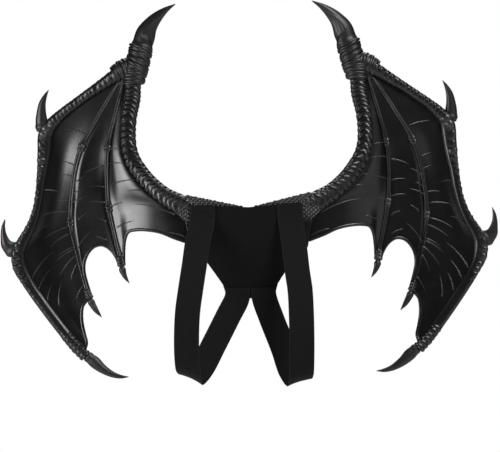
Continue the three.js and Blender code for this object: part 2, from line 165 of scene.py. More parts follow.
# %% Relief shapes
def bell(x, middle, half):
    """A smooth hump, 1 at middle and a third at half away: e to the minus square of distance over half."""
    return np.exp(-(((x - middle) / half) ** 2))


def ramp(x, start, end):
    """0 before start, 1 after end and an S between: 3 t squared minus 2 t cubed."""
    t = np.clip((x - start) / (end - start), 0, 1)
    return t * t * (3 - 2 * t)


def scutes(count, flat=0.7, early=1.0):
    """A row of lumps, one for each whole count: a half sine to the power flat. A small one makes a flat top.

    The share of the count goes to the power early first, so below 1 each lump rises fast and slopes away.
    """
    return np.sin(np.pi * (count % 1) ** early) ** flat


print("a bell at half its breadth:", round(float(bell(1.0, 0.0, 1.0)), 2))

# %% [markdown]
# ## Shells
# A shell is a closed skin: points, four-cornered faces and end caps. A bone's skin goes round and is
# capped at both ends. A web or a strap is a slab with two faces and four edges. A band is a small section
# carried along a path. Bevelled curves and modifiers could make most of them, but a height that follows a
# formula has to reach every point, so the points are worked out here.

# %% Shells
def shell(points, quads, caps=(), crest=None):
    """A closed skin, with a crest from 0 to 1 for how much of a paler colour each point takes."""
    points = points.reshape(-1, 3)
    crest = np.zeros(len(points)) if crest is None else np.clip(crest, 0, 1).ravel()
    return SimpleNamespace(points=points, quads=quads.reshape(-1, 4), caps=list(caps), crest=crest)


def tube(rings, closed=False, crest=None):
    """A shell round rings of points. Corners go on to the next ring, round it and back, so it faces out."""
    index = np.arange(rings.shape[0] * rings.shape[1]).reshape(rings.shape[:2])
    here, there = (index, np.roll(index, -1, axis=0)) if closed else (index[:-1], index[1:])
    quads = np.stack([here, there, np.roll(there, -1, axis=1), np.roll(here, -1, axis=1)], axis=-1)
    return shell(rings, quads, [] if closed else [index[0], index[-1, ::-1]], crest)


def slab(front, rear, crest=None):
    """A shell between two grids of points, closed by four edges. Rows go down and columns outward."""
    rows, columns = front.shape[:2]
    index = np.arange(rows * columns).reshape(rows, columns)
    far = index + rows * columns
    faces = [[index[:-1, :-1], index[1:, :-1], index[1:, 1:], index[:-1, 1:]],
             [far[:-1, :-1], far[:-1, 1:], far[1:, 1:], far[1:, :-1]],
             [index[0, :-1], index[0, 1:], far[0, 1:], far[0, :-1]],
             [index[-1, :-1], far[-1, :-1], far[-1, 1:], index[-1, 1:]],
             [index[:-1, 0], far[:-1, 0], far[1:, 0], index[1:, 0]],
             [index[:-1, -1], index[1:, -1], far[1:, -1], far[:-1, -1]]]
    quads = np.concatenate([np.stack(face, axis=-1).reshape(-1, 4) for face in faces])
    crest = None if crest is None else np.stack([crest, crest])
    return shell(np.stack([front, rear]), quads, crest=crest)


def carried(path, outward, wide, high, around=10, closed=False, crest=None):
    """A band along a path: an oval, high along outward and wide across it, at each point of the path.

    A crest is strongest on the band's top and fades as the cosine of the turn away from it.
    """
    ahead = (np.roll(path, -1, axis=0) - np.roll(path, 1, axis=0)) if closed else np.gradient(path, axis=0)
    along = unit(ahead)
    across = unit(np.cross(np.broadcast_to(outward, path.shape), along))
    up = np.cross(along, across)
    turn = (np.arange(around) * 2 * np.pi / around)[None, :, None]
    wide, high = (np.broadcast_to(x, len(path))[:, None, None] for x in (wide, high))
    rings = path[:, None] + up[:, None] * np.cos(turn) * high + across[:, None] * np.sin(turn) * wide
    if crest is not None:
        crest = np.broadcast_to(crest * np.clip(np.cos(turn[..., 0]), 0, 1), rings.shape[:2])
    return tube(rings, closed, crest)


def together(shells):
    """Several shells as one: the corner numbers of each are moved past the points of those before it."""
    starts = np.cumsum([0] + [len(s.points) for s in shells])
    caps = [cap + start for s, start in zip(shells, starts) for cap in s.caps]
    return SimpleNamespace(points=np.vstack([s.points for s in shells]), caps=caps,
                           quads=np.vstack([s.quads + start for s, start in zip(shells, starts)]),
                           crest=np.concatenate([s.crest for s in shells]))


print("a tube of 3 rings of 4 points has", len(tube(np.zeros((3, 4, 3))).quads), "faces and 2 caps")

# %% Pieces from shells
def piece(name, skin, material, stands_for=None, mirror=False, weave=None):
    """A piece of the object from a shell in mm. A mirrored piece has x turned round and its faces reversed.

    The weave, where given, is (along, across) in mm for each point, and becomes the piece's UV map.
    """
    points = skin.points * ([-MM, MM, MM] if mirror else MM)
    flip = -1 if mirror else 1
    faces = [skin.quads[:, ::flip].ravel()] + [cap[::flip] for cap in skin.caps]
    corners = np.concatenate(faces).astype(np.int32)
    sizes = np.concatenate([np.full(len(skin.quads), 4), [len(cap) for cap in skin.caps]]).astype(np.int32)
    mesh = bpy.data.meshes.new(name)
    mesh.vertices.add(len(points))
    mesh.vertices.foreach_set("co", points.ravel())
    mesh.loops.add(len(corners))
    mesh.loops.foreach_set("vertex_index", corners)
    mesh.polygons.add(len(sizes))
    mesh.polygons.foreach_set("loop_start", (np.cumsum(sizes) - sizes).astype(np.int32))
    mesh.update(calc_edges=True)
    mesh.polygons.foreach_set("use_smooth", np.ones(len(sizes), bool))
    mesh.attributes.new("crest", "FLOAT", "POINT").data.foreach_set("value", skin.crest.astype(np.float32))
    if weave is not None:
        mesh.uv_layers.new(name="weave").data.foreach_set("uv", (weave * MM)[corners].ravel())
    mesh.materials.append(material)
    made = bpy.data.objects.new(name, mesh)
    bpy.context.collection.objects.link(made)
    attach(made, "root")
    if stands_for:
        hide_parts(stands_for)
    return made


def pair(name, skin, material):
    """The same piece on the right wing and, mirrored, on the left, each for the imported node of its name."""
    for side in ("right", "left"):
        packed = f"{side}_{name}"
        piece(f"{packed}_skin", skin, material, packed, side == "left")
    print(f"{name}: {len(skin.quads)} faces on each side")


print("pieces ride on root and stand for packed nodes")

# %% [markdown]
# ## Materials
# The wings are soft polyurethane foam. The mould gives it a thin skin with a leathery grain, it is
# painted near black, and its raised parts are drawn a paler grey: partly dry-brushing and partly a
# painted highlight on their tops. The claws have a thicker lacquer on top. The panel is felted cloth and
# the straps are woven elastic. Photographs of each could be laid on the pieces, but patterns worked out
# from a size in millimetres stay sharp and have no seams. The crest of each point says how much of the
# paler colour it takes.

# %% Material tools
def colour(code):
    """A screen colour such as #1a191b as linear light.

    A channel is divided by 12.92 if it is dark, and otherwise it is ((c + 0.055) / 1.055) to the power 2.4.
    """
    screen = np.array([int(code[k:k + 2], 16) for k in (1, 3, 5)]) / 255
    light = np.where(screen <= 0.04045, screen / 12.92, ((screen + 0.055) / 1.055) ** 2.4)
    return (*light.tolist(), 1.0)


def give(tree, made, inputs):
    """Fill a node's inputs: one that is given a socket is linked to it, and any other is set."""
    for name, value in inputs.items():
        if isinstance(value, bpy.types.NodeSocket):
            tree.links.new(value, made.inputs[name])
        else:
            made.inputs[name].default_value = value


def node(tree, kind, inputs=None, **settings):
    """One new shader node with its inputs and settings."""
    made = tree.nodes.new("ShaderNode" + kind)
    for name, value in settings.items():
        setattr(made, name, value)
    give(tree, made, inputs or {})
    return made


def blend(tree, share, first, second):
    """The colour that goes from first to second by share: a Mix node takes colours at 6 and 7, gives 2."""
    return node(tree, "Mix", {0: share, 6: first, 7: second}, data_type="RGBA").outputs[2]


def product(tree, first, second):
    """Two values multiplied."""
    return node(tree, "Math", {0: first, 1: second}, operation="MULTIPLY").outputs[0]


def new_material(name):
    """A material with a Principled shader: its node tree, the shader and the piece's own coordinates."""
    material = bpy.data.materials.new(name)
    material.use_nodes = True
    tree = material.node_tree
    tree.nodes.clear()
    surface = node(tree, "BsdfPrincipled")
    node(tree, "OutputMaterial", {"Surface": surface.outputs["BSDF"]})
    return material, tree, surface, node(tree, "TexCoord")


def per_mm(size):
    """A pattern's scale from the size in mm of one of its cells: a texture's unit is one metre."""
    return 1 / (size * MM)


print("material tools ready")

# %% Foam and lacquer
CLOUD_MM = 35.0  # patches where the paint lies thicker or thinner
PORE_MM = 0.9  # true pores are finer, and are drawn this coarse so that they show
SHINE_VARIES = 0.06

def foam_like(name, dark, pale, brush_and_highlight, shine, grain, grain_mm):
    """Moulded foam: clouds of two colours, paler by the crest, which is partly dry-brushing and partly a
    painted highlight, and a grain of cells and pores.

    The shine is the roughness, which varies a little with the clouds. Grain is how strong the cells are.
    """
    material, tree, surface, place = new_material(name)
    where = place.outputs["Object"]
    clouds = node(tree, "TexNoise", {"Vector": where, "Scale": per_mm(CLOUD_MM), "Detail": 4.0})
    cells = node(tree, "TexVoronoi", {"Vector": where, "Scale": per_mm(grain_mm)}, feature="SMOOTH_F1")
    pores = node(tree, "TexNoise", {"Vector": where, "Scale": per_mm(PORE_MM), "Detail": 3.0})
    crest = node(tree, "Attribute", attribute_name="crest")
    # The crest mixes in the paler colour: partly grey dry-brushing and partly a painted highlight on raised
    # tops.
    patchy = product(tree, crest.outputs["Fac"], clouds.outputs["Fac"])
    body = blend(tree, clouds.outputs["Fac"], colour(dark), colour(pale))
    painted = blend(tree, patchy, body, colour(brush_and_highlight))
    satin = node(tree, "MapRange", {"Value": clouds.outputs["Fac"],
                                    "To Min": shine - SHINE_VARIES, "To Max": shine + SHINE_VARIES})
    skin = node(tree, "Bump", {"Height": cells.outputs["Distance"], "Strength": grain,
                               "Distance": 0.25 * MM})
    fine = node(tree, "Bump", {"Height": pores.outputs["Fac"], "Strength": 0.15, "Distance": 0.12 * MM,
                               "Normal": skin.outputs["Normal"]})
    give(tree, surface, {"Base Color": painted, "Roughness": satin.outputs[0],
                         "Normal": fine.outputs["Normal"]})
    return material


# Moulded foam with a leathery grain: each scute gets a small satin highlight on black, and its top is painted
# a little paler, partly dry-brushing and partly a painted highlight.
bone_foam = foam_like("moulded_foam_bone", "#060506", "#0b0a0b", "#201e21", 0.33, 0.4, 2.2)
# The same foam with a paler grey on the tops of its scales and lumps: partly dry-brushing and partly a
# painted highlight.
brush_and_highlight_foam = foam_like("foam_brush_and_painted_highlight", "#060506", "#0b0a0b", "#3e3c40", 0.34, 0.4, 2.2)
# The same foam with a paler grey still: two painted highlight lines, partly dry-brushing, on a black finger.
finger_foam = foam_like("finger_foam_brush_and_painted_highlight", "#060506", "#0b0a0b", "#6a686d", 0.34, 0.4, 2.2)
# Foam strands with little paint: duller, so that the wrap reads as many soft lines. The outer face of each
# strand is a little paler: partly dry-brushing and partly a painted highlight.
strand_foam = foam_like("wound_foam_strand", "#060506", "#0b0a0b", "#1c1a1d", 0.45, 0.4, 2.2)
# Foam from a smooth part of the mould: broad soft sheens, and veins whose fronts are painted pale, partly
# dry-brushing and partly a painted highlight.
web_foam = foam_like("moulded_foam_web", "#060506", "#0a090a", "#4a484c", 0.29, 0.12, 3.0)
# Half-matt lacquer on foam: a slightly paler, even black with hardly any grain, and a faint painted
# highlight, partly dry-brushing, where it swells at its foot.
claw_lacquer = foam_like("lacquered_foam_claw", "#0a090a", "#111011", "#201e21", 0.46, 0.12, 4.0)
foams = (bone_foam, brush_and_highlight_foam, finger_foam, strand_foam, web_foam, claw_lacquer)
print("foam materials:", *(foam.name for foam in foams))

# %% Cloth, elastic and thread
FIBRE_MM = 0.8  # a tuft of fibres, drawn coarser than one fibre so that it shows
FIBRE_STRETCH = 0.35
RIB_MM, WEFT_MM = 4.0, 1.4  # bands of the weave, drawn coarser than its threads so that they show

def felt_like(name, dark, pale):
    """Felted cloth: short upright fibres as noise that is stretched in height, dull, with a faint sheen."""
    material, tree, surface, place = new_material(name)
    where = place.outputs["Object"]
    stretched = node(tree, "Mapping", {"Vector": where, "Scale": (1.0, 1.0, FIBRE_STRETCH)})
    fibres = node(tree, "TexNoise", {"Vector": stretched.outputs[0], "Scale": per_mm(FIBRE_MM),
                                     "Detail": 5.0})
    shade = blend(tree, fibres.outputs["Fac"], colour(dark), colour(pale))
    nap = node(tree, "Bump", {"Height": fibres.outputs["Fac"], "Strength": 0.6, "Distance": 0.3 * MM})
    give(tree, surface, {"Base Color": shade, "Normal": nap.outputs["Normal"], "Roughness": 0.95,
                         "Sheen Weight": 0.06, "Specular IOR Level": 0.15})
    return material


def per_band(size):
    """A wave pattern's scale from the mm between its bands: at scale 1 it has 20 bands in 2 pi metres."""
    return per_mm(size) * 2 * np.pi / 20


def elastic_like(name, dark, pale, edge):
    """Woven elastic, on the UV map: ribs along the strap, crossed by bands of weft.

    The two sine bands multiply into a basket of small lumps, and the crest marks the paler bound edges.
    """
    material, tree, surface, _ = new_material(name)
    where = node(tree, "UVMap", uv_map="weave").outputs["UV"]
    ribs = node(tree, "TexWave", {"Vector": where, "Scale": per_band(RIB_MM), "Distortion": 0.0},
                bands_direction="Y")
    weft = node(tree, "TexWave", {"Vector": where, "Scale": per_band(WEFT_MM), "Distortion": 0.4},
                bands_direction="X")
    weave = product(tree, ribs.outputs["Fac"], weft.outputs["Fac"])
    border = node(tree, "Attribute", attribute_name="crest")
    bound = blend(tree, border.outputs["Fac"], blend(tree, weave, colour(dark), colour(pale)), colour(edge))
    threads = node(tree, "Bump", {"Height": weave, "Strength": 0.5, "Distance": 0.2 * MM})
    give(tree, surface, {"Base Color": bound, "Normal": threads.outputs["Normal"], "Roughness": 0.8,
                         "Sheen Weight": 0.03, "Specular IOR Level": 0.15})
    return material


# Felted polyester cloth: it swallows the light, so the panel is the darkest part.
black_felt = felt_like("felted_cloth", "#050505", "#090909")
# Woven elastic: dull too, with a fine weave and edges that are a little paler.
black_elastic = elastic_like("woven_elastic", "#080808", "#0e0e0f", "#141415")
# Polyester sewing thread: just paler than the strap, so a seam shows close up.
black_thread = felt_like("sewing_thread", "#161617", "#262628")
print("cloth materials:", black_felt.name, black_elastic.name, black_thread.name)

# %% [markdown]
# ## The wing's lines
# These rows were measured on the photo, where one pixel is 1.6 mm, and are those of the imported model. Out
# is away from the middle, up is up, and back is away from the wearer; wide is seen from the front and
# deep from the side. An outline could be traced round the whole wing, but a few rows for each bone are
# easier to read and to change.

# %% Tables of the bones: out, up, back, wide, deep
ARM = [(179.5, 273, 42, 25, 26), (181.5, 245, 41, 26, 25), (187, 219, 39, 25, 24), (189, 195, 37.5, 24, 24),
       (188.5, 170, 35, 24, 24), (183, 149, 31.5, 25, 24), (171, 129, 27, 26, 24), (154, 109, 21, 26, 23),
       (132, 90, 15, 28, 20), (107, 75.5, 10.5, 32, 17), (92, 68, 8.5, 26, 11)]
LEADING_SPAR = [(203, 287, 43, 23, 22), (224, 273.5, 46, 19.5, 20), (248, 258, 50, 16.5, 19),
                (270, 243, 54, 16, 18), (292, 227, 58, 17, 19), (308, 213, 61, 20, 20),
                (321, 196, 63, 24, 21), (325, 165, 63, 22, 20), (328, 140, 62, 18, 19),
                (331.5, 118, 61, 14.5, 17), (334, 98, 60, 13.5, 17), (338, 78, 59.5, 13, 17),
                (344, 58, 59, 14, 17), (352, 40, 58.5, 16, 18), (362, 23, 58, 18.5, 19),
                (370, 5, 57.5, 21.5, 20), (368.5, -18, 57, 22.5, 20), (358, -40, 56, 19, 18),
                (345, -62, 54.5, 17.5, 17), (312, -109, 50, 17, 16), (284, -145, 46, 17, 16),
                (266, -164, 43.5, 17.5, 16)]
INNER_FINGER = [(196, 272, 42, 6, 8), (207, 232, 42.5, 6.5, 8), (214, 207, 43.5, 7, 8.5),
                (223, 168, 45.5, 8, 10), (225.5, 135, 47.5, 7.5, 9.5), (225.5, 100, 49, 7, 9),
                (223.5, 71, 49, 8, 9.5), (218, 42, 48, 7, 9), (213, 18, 46.5, 7, 9),
                (208, -3, 44.5, 8, 9), (205, -21, 43, 9.5, 10)]
OUTER_FINGER = [(203, 273, 43, 6, 8), (220, 247, 45, 6.5, 8), (240, 215, 48, 7, 8.5),
                (265.5, 170, 53, 9, 10), (275.5, 138, 56, 8, 9.5), (281.5, 105, 58.5, 7.5, 9),
                (285.5, 49, 59.5, 8, 9), (279, 10, 58, 5, 6.5), (271, -25, 55.5, 5, 6.5),
                (264.5, -51, 53.5, 6, 7.5), (257.5, -72, 51.5, 9, 9.5)]
FINGER_JOINTS = (3, 6, 10)  # rows where a finger has a knuckle
WRAP_TRUNK = [(165, 329, 43, 38, 34), (169, 313, 43, 37, 34), (174, 297, 43, 39, 35),
              (177.5, 283, 42.5, 37, 34), (180, 269, 42, 33, 31)]
WRAP_BRANCH = [(180, 297, 43, 30, 30), (194, 293, 43, 34, 31), (208, 285, 44, 28, 26)]
# The fork fills the angle between the trunk and the branch.
WRAP_FORK = [(182, 292, 43, 22, 24), (191, 282, 43, 22, 20), (199, 271, 43, 18, 11), (202, 265, 43.5, 8, 5)]
print("bones:", len(ARM), "rows for the arm and", len(LEADING_SPAR), "for the spar")

# %% Tables of the horn and claws: out, up, back, wide, deep
THUMB_HORN = [(166, 323, 43, 32, 29), (162, 335, 43, 34, 30), (157, 351.5, 42, 31.5, 28),
              (149.5, 364, 40, 24.5, 23), (139.5, 375, 37.5, 18.5, 17), (125.5, 386.5, 34, 10, 10),
              (109, 396, 31, 1.2, 1.2)]
ELBOW_CLAW = [(326, 199, 62, 20, 15), (328, 214, 61, 19.5, 15), (328, 229, 59, 15, 12.5),
              (326, 243, 57, 11, 9.5), (321, 255, 55, 6, 6), (315.5, 264, 53, 1, 1)]
OUTER_CLAW = [(374, 7, 57.5, 22, 15), (381, 11, 57, 24, 15.5), (388.5, 18, 55.5, 19, 14),
              (392, 28, 54, 12.5, 11), (393.5, 38, 52.5, 8.5, 8), (393, 48, 51, 5.5, 5.5),
              (390, 59, 49.5, 1, 1)]
TIP_CLAW = [(268, -160, 43.5, 11, 11), (261, -165.5, 43, 15, 13), (253, -172.5, 42, 19, 15),
            (240, -184, 40.5, 15, 13), (224, -193.5, 38.5, 10, 9.5), (210, -197.5, 36.5, 6, 6),
            (198, -198, 35, 1, 1)]
INNER_FINGER_CLAW = [(205.3, -19, 43, 6, 7), (203.5, -29, 41.5, 9.5, 8.5), (200, -38, 40, 7, 6.5),
                     (193.5, -48.5, 38, 0.8, 0.8)]
OUTER_FINGER_CLAW = [(258.3, -70, 51.7, 6, 7), (254, -80, 50, 10, 9), (247.5, -91, 48, 8, 7),
                     (239, -102, 46, 0.8, 0.8)]
print("the horn reaches up to", THUMB_HORN[-1][1], "mm")

# %% [markdown]
# ## Arm
# The arm is the thick bone from the wrist down to the body. Two rows of scutes, like the plates on a
# lizard's leg, slant down from a groove along its front. Each is a leaf, with a finer fold at its tip. On
# the lower bend the groove moves towards the web. The scutes could be single pieces set on a smooth bone,
# but the maker carved them in the clay for the mould, so here they are carved into the skin as heights.

# %% Arm
ARM_SCUTES = [(0, 0), (45, 6.5), (140, 15), (260, 28)]  # mm down the arm, scutes passed
ARM_BEND = 140.0  # mm down the arm to the middle of its bend
ARM_AROUND = 96  # points round the arm

def arm_relief(run, facing):
    """Heights in mm: two rows of leaves that slant down from a front groove, which drifts towards the web.

    The count of scutes comes from the table. It is held back in proportion to the angle from the groove,
    which slants each row. A bell on each side of the groove bounds it, and plain lumps cross the rear.
    """
    count = np.interp(run, *np.array(ARM_SCUTES, float).T)
    count = count + 0.12 * np.sin(1.9 * count) + 0.06 * np.sin(4.7 * count)
    aside = facing - 0.3 * ramp(run, ARM_BEND - 40, ARM_BEND + 40)
    slanted = count - 0.55 * np.abs(aside)
    leaves = 0.84 * scutes(slanted, 0.75, 1.2) + 0.16 * scutes(2 * slanted + 0.3 * np.sin(3 * aside))
    rows = bell(aside, 0.85, 0.6) + bell(aside, -0.85, 0.62)
    rear = 0.4 * scutes(count) * ramp(np.abs(facing), 1.5, 2.1)
    return 3.4 * np.maximum(leaves * rows, rear) - 1.0


arm = bone_line(ARM, step=0.9)
height = arm_relief(arm.run, turns(ARM_AROUND)[1])
# The crest paints the tops of the scutes a little paler: partly dry-brushing and partly a painted highlight.
arm_skin = tube(oval_rings(arm, ARM_AROUND, height), crest=height / 2.2)
pair("arm", arm_skin, bone_foam)

# %% [markdown]
# ## Leading spar
# The spar is the wing's front edge: out from the wrist, down past the elbow and the outer claw, and in to
# the tip. Short ribs cross its first part, and a row of beads then runs down its outer edge beside a flat
# band. Past the outer claw the beads die out and one raised line runs on to the close rings before the
# tip claw. The tops of the lumps and that line are painted paler: partly dry-brushing and partly a
# painted highlight. A pattern for each stretch would need joins, so one table gives the lumps that have
# passed, how tall they are and where they sit.

# %% Leading spar
# mm along the spar, lumps passed, their height in mm, and their middle and half breadth in radians
SPAR_LUMPS = [
    (0, 0, 2.4, 0.35, 1.15), (50, 5, 2.4, 0.35, 1.15), (140, 17.5, 2.2, 0.45, 1.1),
    (160, 19.5, 3.6, 0.55, 0.7), (200, 22.6, 4.2, 0.5, 0.75), (240, 26.4, 3.6, 0.7, 0.5),
    (330, 35.4, 3.8, 0.7, 0.5), (350, 37.2, 4.2, 0.55, 0.7), (400, 41.8, 3.6, 0.6, 0.75),
    (432, 44.6, 0.5, 0.7, 0.7), (500, 51.2, 0.1, 0.6, 0.9), (512, 52.8, 2.4, 0.2, 2.2),
    (560, 58.8, 2.6, 0.0, 3.0)]
SPAR_TAIL = (400, 440)  # mm along the spar where the beads die out
SPAR_RINGS = (515, 500)  # mm along the spar where the band and the line end
SPAR_LINE = (-0.95, 0.2)  # radians from the front to the raised line, and its half breadth
ELBOW_SCALES = [(321, 203, 8.0, 4.0), (325.5, 194, 7.0, 5.0)]  # out, up, radius, height in mm
SPAR_ROUND = 0.78  # 1 is an oval section, less is a rounded box
SPAR_AROUND = 64

def spar_relief(run, facing):
    """Heights in mm: lumps on the outer side, a flat band beside them, and a raised line by the web.

    The lumps are a row of scutes, made uneven by two sines and held back on both sides of their middle.
    """
    at, *columns = np.array(SPAR_LUMPS).T
    count, tall, middle, half = (np.interp(run, at, column) for column in columns)
    uneven = 0.1 * np.sin(2.3 * count) + 0.07 * np.sin(5.1 * count + 1)
    slope = 0.22 * (facing - middle) * ramp(run, 200, 120) - 0.2 * np.abs(facing - middle)
    lumps = tall * (1 + uneven) * scutes(count + uneven + slope, 0.6, 0.75) * bell(facing, middle, half)
    plain = ramp(run, *SPAR_RINGS)
    flat = 0.9 * bell(facing, -0.45, 0.35) * ramp(run, 150, 210) * plain
    ridge = (0.4 + 0.4 * ramp(run, *SPAR_TAIL)) * ramp(run, 250, 420) * bell(facing, *SPAR_LINE) * plain
    return lumps + ridge - flat - 0.25 * tall


def round_scale(bone, around, out, up, radius, high):
    """Heights in mm of one round scale at out, up: half a ball, flattened to high, on the front only."""
    skin = oval_rings(bone, around, 0.0, SPAR_ROUND)
    away = np.hypot(skin[..., 0] - out, skin[..., 2] - up) / radius
    return high * np.sqrt(np.clip(1 - away ** 2, 0, 1)) * (np.abs(turns(around)[1]) < 1.4)


spar = bone_line(LEADING_SPAR, step=1.1)
facing = turns(SPAR_AROUND)[1]
height = spar_relief(spar.run, facing)
for row in ELBOW_SCALES:
    height = np.maximum(height, round_scale(spar, SPAR_AROUND, *row))
# Painted highlight, partly dry-brushing: the crest paints the tops of the lumps and the raised line by the
# web paler.
highlight_paint_line = 0.7 * bell(facing, *SPAR_LINE) * ramp(spar.run, *SPAR_TAIL) * ramp(spar.run, *SPAR_RINGS)
brush_and_highlight = np.maximum(height / 2.5 - 0.5, highlight_paint_line)
spar_skin = tube(oval_rings(spar, SPAR_AROUND, height, SPAR_ROUND), crest=brush_and_highlight)
pair("leading_spar", spar_skin, brush_and_highlight_foam)

# %% [markdown]
# ## Fingers
# Two thin fingers cross the wing from the wrist to the scalloped edge. Each has a groove down its front
# between two raised lines, which close into one ridge near the wrist. The lines and the ridge are painted
# paler, most near the wrist: partly dry-brushing and partly a painted highlight. Two beaded rings make a
# knuckle at each joint, and two more rings end the finger. Past its second knuckle the outer finger lies
# under the web, so its lines fade there and its front is flatter. Rings could be added as pieces, but on
# the moulding they are one with the bone.

# %% Fingers
KNUCKLE_RINGS = (-2.9, 2.9)  # mm from a joint to each of its rings
END_RINGS = (8.5, 13.5)  # mm from a finger's end to two more
RING_HALF = 2.1  # mm from a ring's crest to where it is a third as high
FINGER_AROUND = 36

def finger_relief(bone, rows, facing, veiled):
    """Heights in mm, and how much paler paint each point takes, partly dry-brushing and partly a painted
    highlight: bells for two lines, for a ridge and for the rings.

    Veiled is the share by which the lines fade past the second knuckle, where the front also sinks.
    """
    places = np.array(rows, float)[:, [0, 2, 1]]
    nearest = [np.argmin(np.linalg.norm(bone.centre - places[row], axis=1)) for row in FINGER_JOINTS]
    joints = bone.run[nearest, 0]
    split = ramp(bone.run / bone.length, 0.0, 0.12)
    under = veiled * ramp(bone.run, joints[1] + 6, joints[1] + 22)
    sunk = 0.9 * under * ramp(bone.run, joints[2] - 18, joints[2] - 34) * bell(facing, 0, 0.8)
    lines = (1 - under) * split * (0.9 * bell(np.abs(facing), 0.62, 0.3) - 0.6 * bell(facing, 0, 0.25))
    ridge = (1 - split) * 0.7 * bell(facing, 0, 0.5)
    rings = sum(bell(bone.run, joint + gap, RING_HALF) for joint in joints for gap in KNUCKLE_RINGS)
    rings = rings + sum(bell(bone.run, bone.length - gap, RING_HALF) for gap in END_RINGS)
    beads = np.minimum(rings, 1.0) * (1.9 + 0.5 * np.cos(6 * facing))
    flare = sum(bell(bone.run, joint - 5, 7) for joint in joints)
    # The paler paint on the lines and the ridge, in part a painted highlight, fades to three tenths down the
    # finger.
    brush_and_highlight = (lines + ridge) * (1 - 0.7 * ramp(bone.run / bone.length, 0.1, 0.32))
    return lines + ridge - sunk + 0.9 * flare + beads, brush_and_highlight


def finger_skin(rows, veiled):
    """A finger's line and its shell: ovals along the line with the finger's relief."""
    bone = bone_line(rows, step=0.8)
    height, brush_and_highlight = finger_relief(bone, rows, turns(FINGER_AROUND)[1], veiled)
    return bone, tube(oval_rings(bone, FINGER_AROUND, height), crest=brush_and_highlight)


inner_finger, inner_finger_skin = finger_skin(INNER_FINGER, veiled=0.0)
outer_finger, outer_finger_skin = finger_skin(OUTER_FINGER, veiled=0.9)
pair("inner_finger", inner_finger_skin, finger_foam)
pair("outer_finger", outer_finger_skin, finger_foam)

# %% [markdown]
# ## Webs
# The webs are thin foam sheets cast in one with the bones. Each is drawn up at its foot into a scallop
# with a rolled rim. The inner one swells forward, the middle one waves and then swells, and the outer one
# is hollow, and that is what shapes their sheen. Short veins stand out on the front, most of them from a
# bone, and taper as they go. A cloth could be draped here, but moulded foam keeps its shape, so straight
# rows between two bones are bent by a formula.

# %% Web tables: scallops as out, up, back, and veins as out, up to out, up
INNER_SCALLOP = [(120, 22.5, 14), (140, 31.5, 20), (160, 36, 26), (180, 37, 33), (193, 34, 38),
                 (198.5, 24, 41), (201, 6, 43.5)]
MIDDLE_SCALLOP = [(213, -8, 45), (222, 6, 48.5), (235, 14, 51.5), (248, 12, 54), (258, 3, 55.5),
                  (265, -12, 56), (266, -28, 55), (262, -46, 53.8)]
OUTER_SCALLOP = [(269, -83, 52), (271.5, -97, 52), (271, -111, 51.5), (268, -127, 50), (264.5, -142, 47)]
INNER_VEINS = [(221, 108, 177, 117), (221, 143, 198, 143), (219, 166, 200, 164), (220, 74, 200, 81),
               (193, 99, 175, 99), (183, 78, 120, 59), (208, 42, 184, 51), (125, 30, 95, 19)]
MIDDLE_VEINS = [(260, 130, 232, 139), (278, 112, 260, 125), (281, 95, 268, 102), (281, 82, 258, 92),
                (253, 108, 231, 106), (253, 83, 231, 81), (274, 9, 251, 38), (270, 57, 259, 66),
                (247, 28, 231, 22), (243, 57, 231, 52)]
OUTER_VEINS = [(293, 200, 262, 193), (295, 149, 280, 143), (295, 129, 282, 123), (325, 103, 305, 101),
               (307, 86, 289, 86), (333, 63, 291, 68), (345, 34, 322, 47), (327, 27, 292, 43),
               (319, 13, 288, 32), (306, -2, 285, 10), (349, -38, 315, 5), (337, -52, 321, -24),
               (324, -70, 316, -44), (306, -79, 303, -47), (279, -72, 268, -52), (304, -33, 279, -3),
               (287, -42, 277, -17), (311, -12, 282, 7)]
FOOT_CORNERS = [(101.2, 48, 8), (93.2, 3, 8)]  # out, up, back: where the inner web passes the root plate
print("veins on each wing:", len(INNER_VEINS) + len(MIDDLE_VEINS) + len(OUTER_VEINS))

# %% Web edges
WEB_ROWS = 120
EDGE_IN_BONE = 0.38  # of a bone's width, from its middle to where a web's edge is hidden in it
SPAR_END = 0.985  # share of the spar's length where the outer web ends
BESIDE_ARM = 0.8  # share of the inner web that runs beside the arm; the rest passes the root plate
EASED_ROWS = 10  # rows on each side that smooth the inner web's edge where the two meet

def bone_edge(bone, sign, v):
    """Points just inside a bone's side, sign times outward, for shares v of its length."""
    at = v * bone.length
    inside = bone.centre + sign * bone.side * bone.wide * EDGE_IN_BONE
    return np.stack([np.interp(at, bone.run[:, 0], column) for column in inside.T], axis=1)


def body_edge(v):
    """The inner web's edge towards the body: beside the arm, then past the root plate's corners.

    Each row is then the mean of those around it, so the two parts join without a kink.
    """
    beside = bone_edge(arm, 1, np.clip(v / BESIDE_ARM, 0, 1))
    corners = np.vstack([beside[-1:], np.array(FOOT_CORNERS, float)[:, [0, 2, 1]]])
    past = np.clip((v - BESIDE_ARM) / (1 - BESIDE_ARM), 0, 1) * 2
    passing = np.stack([np.interp(past, [0, 1, 2], column) for column in corners.T], axis=1)
    edge = np.where((v <= BESIDE_ARM)[:, None], beside, passing)
    padded = np.pad(edge, ((EASED_ROWS, EASED_ROWS), (0, 0)), mode="edge")
    window = np.full(2 * EASED_ROWS + 1, 1 / (2 * EASED_ROWS + 1))
    return np.stack([np.convolve(column, window, "valid") for column in padded.T], axis=1)


down = np.linspace(0, 1, WEB_ROWS)
near_inner, far_inner = (bone_edge(inner_finger, sign, down) for sign in (-1, 1))
near_outer, far_outer = (bone_edge(outer_finger, sign, down) for sign in (-1, 1))
spar_edge = bone_edge(spar, -1, SPAR_END * down)
arm_edge = body_edge(down)
print("the inner web is", round(run_along(arm_edge)[-1]), "mm long beside the arm and the root")

# %% Veins
TO_THE_VIEWER = np.array([0, -1, 0])
VEIN_WIDE, VEIN_HIGH = 1.7, 1.5  # half of each, in mm
VEIN_BEHIND = 4.0  # mm that a vein starts inside its bone
VEIN_POINTS, VEIN_AROUND = 24, 8

